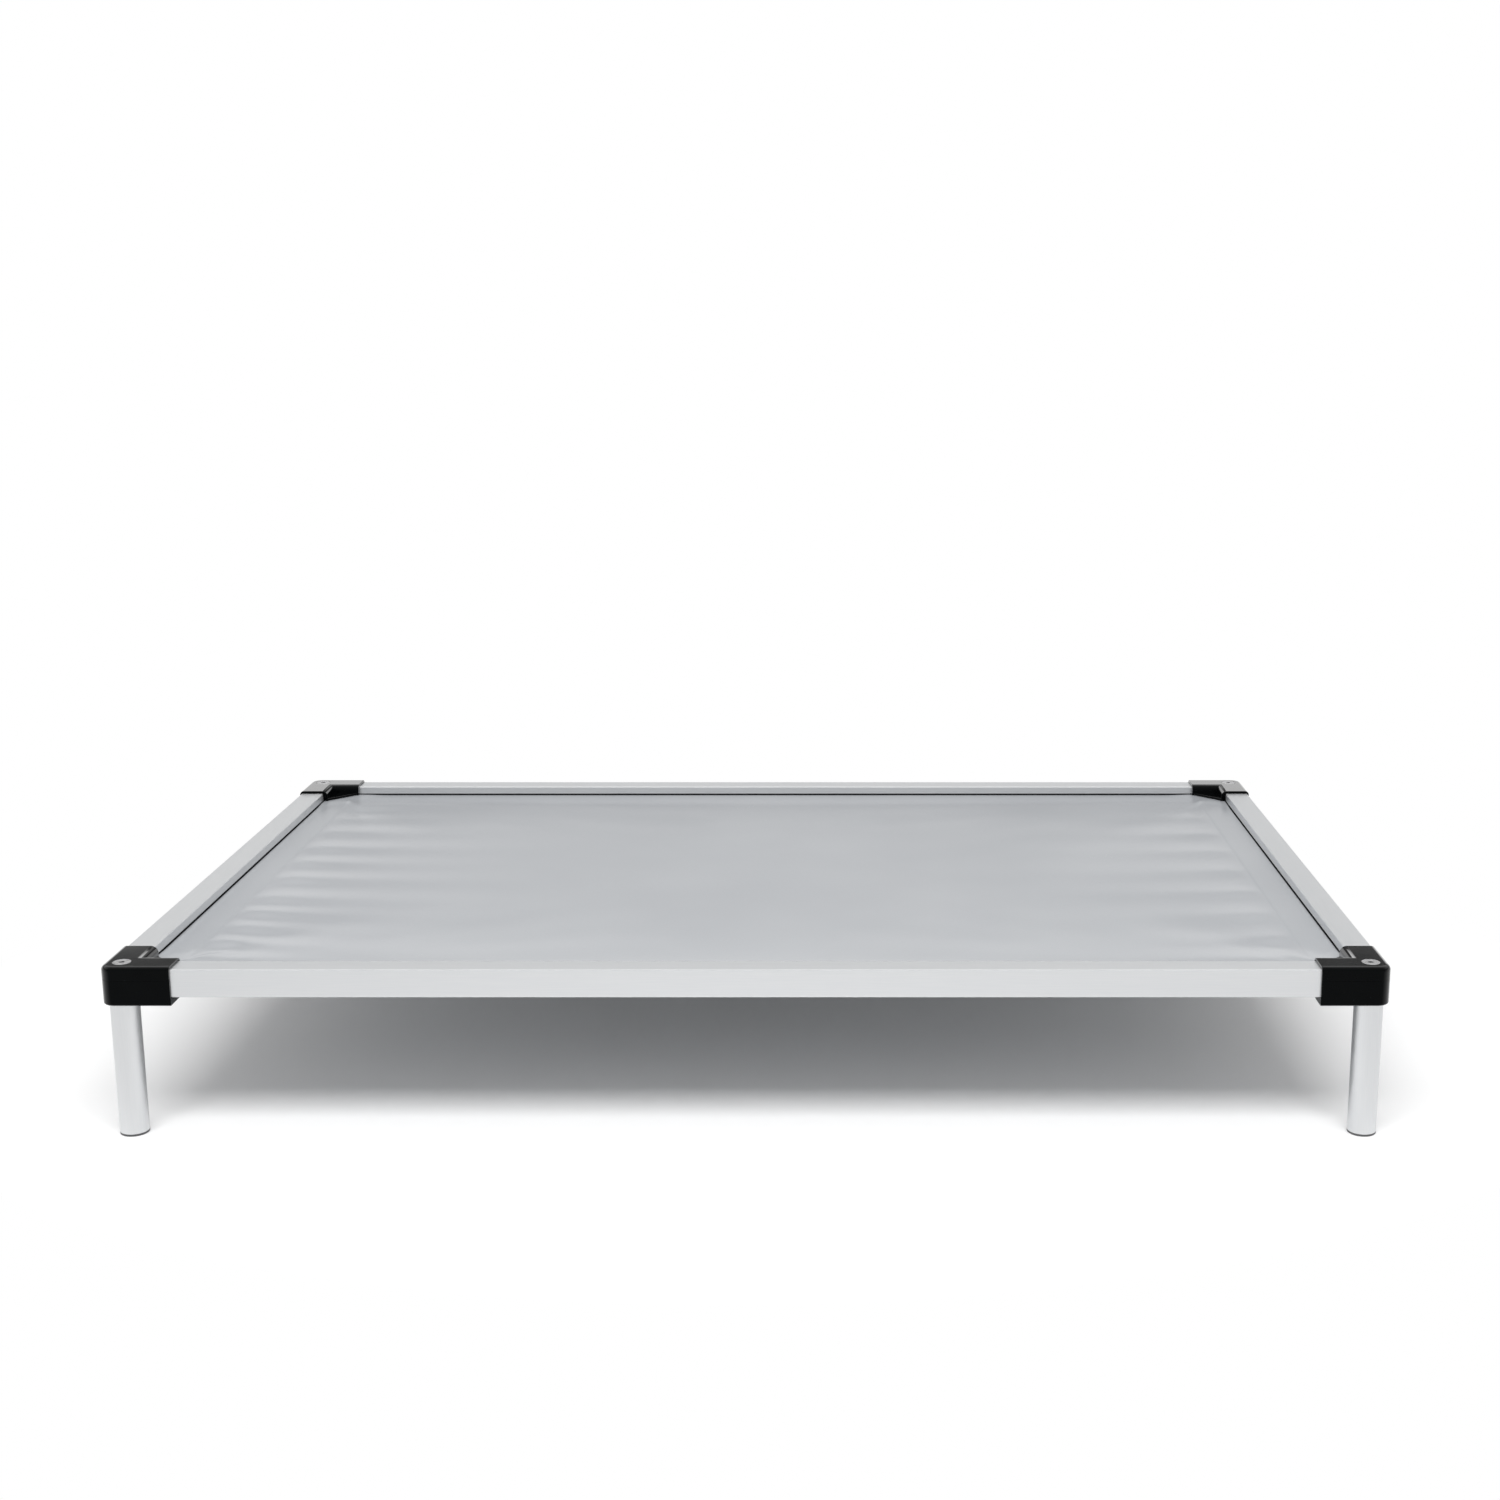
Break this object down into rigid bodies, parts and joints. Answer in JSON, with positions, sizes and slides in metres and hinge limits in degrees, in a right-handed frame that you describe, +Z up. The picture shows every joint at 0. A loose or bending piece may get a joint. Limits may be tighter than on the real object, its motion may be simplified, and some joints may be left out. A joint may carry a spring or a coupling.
{
  "type": "raised dog bed with frame",
  "caption": "Raised pet bed: square metal rails joined in moulded corner blocks on round legs, with a taut coated fabric deck.",
  "frame": {"origin": "on the floor, under the middle of the bed", "axes": "+X along the bed's length, +Y towards its rear side, +Z up"},
  "size_m": [1.1284, 0.7204, 0.1588],
  "materials": {
    "anodised_aluminium": "satin anodised, drawn along the length",
    "black_plastic": "glossy moulded",
    "bolt_steel": "turned and plated",
    "plug_steel": "plain machined",
    "foot_plastic": "matte moulded",
    "bead_plastic": "smooth extruded",
    "coated_fabric": "coated, satin sheen, fine weave"
  },
  "bodies": {
    "root": {"rail_front": "anodised_aluminium", "rail_rear": "anodised_aluminium", "rail_left": "anodised_aluminium", "rail_right": "anodised_aluminium", "corner_cap_front_left": "black_plastic", "corner_cap_front_right": "black_plastic", "corner_cap_rear_left": "black_plastic", "corner_cap_rear_right": "black_plastic", "corner_base_front_left": "black_plastic", "corner_base_front_right": "black_plastic", "corner_base_rear_left": "black_plastic", "corner_base_rear_right": "black_plastic", "corner_bolt_front_left": "bolt_steel", "corner_bolt_front_right": "bolt_steel", "corner_bolt_rear_left": "bolt_steel", "corner_bolt_rear_right": "bolt_steel", "leg_front_left": "anodised_aluminium", "leg_front_right": "anodised_aluminium", "leg_rear_left": "anodised_aluminium", "leg_rear_right": "anodised_aluminium", "leg_plug_front_left": "plug_steel", "leg_plug_front_right": "plug_steel", "leg_plug_rear_left": "plug_steel", "leg_plug_rear_right": "plug_steel", "foot_front_left": "foot_plastic", "foot_front_right": "foot_plastic", "foot_rear_left": "foot_plastic", "foot_rear_right": "foot_plastic", "edge_bead_front": "bead_plastic", "edge_bead_rear": "bead_plastic", "edge_bead_left": "bead_plastic", "edge_bead_right": "bead_plastic", "deck_fabric": "coated_fabric"}
  },
  "joints": []
}
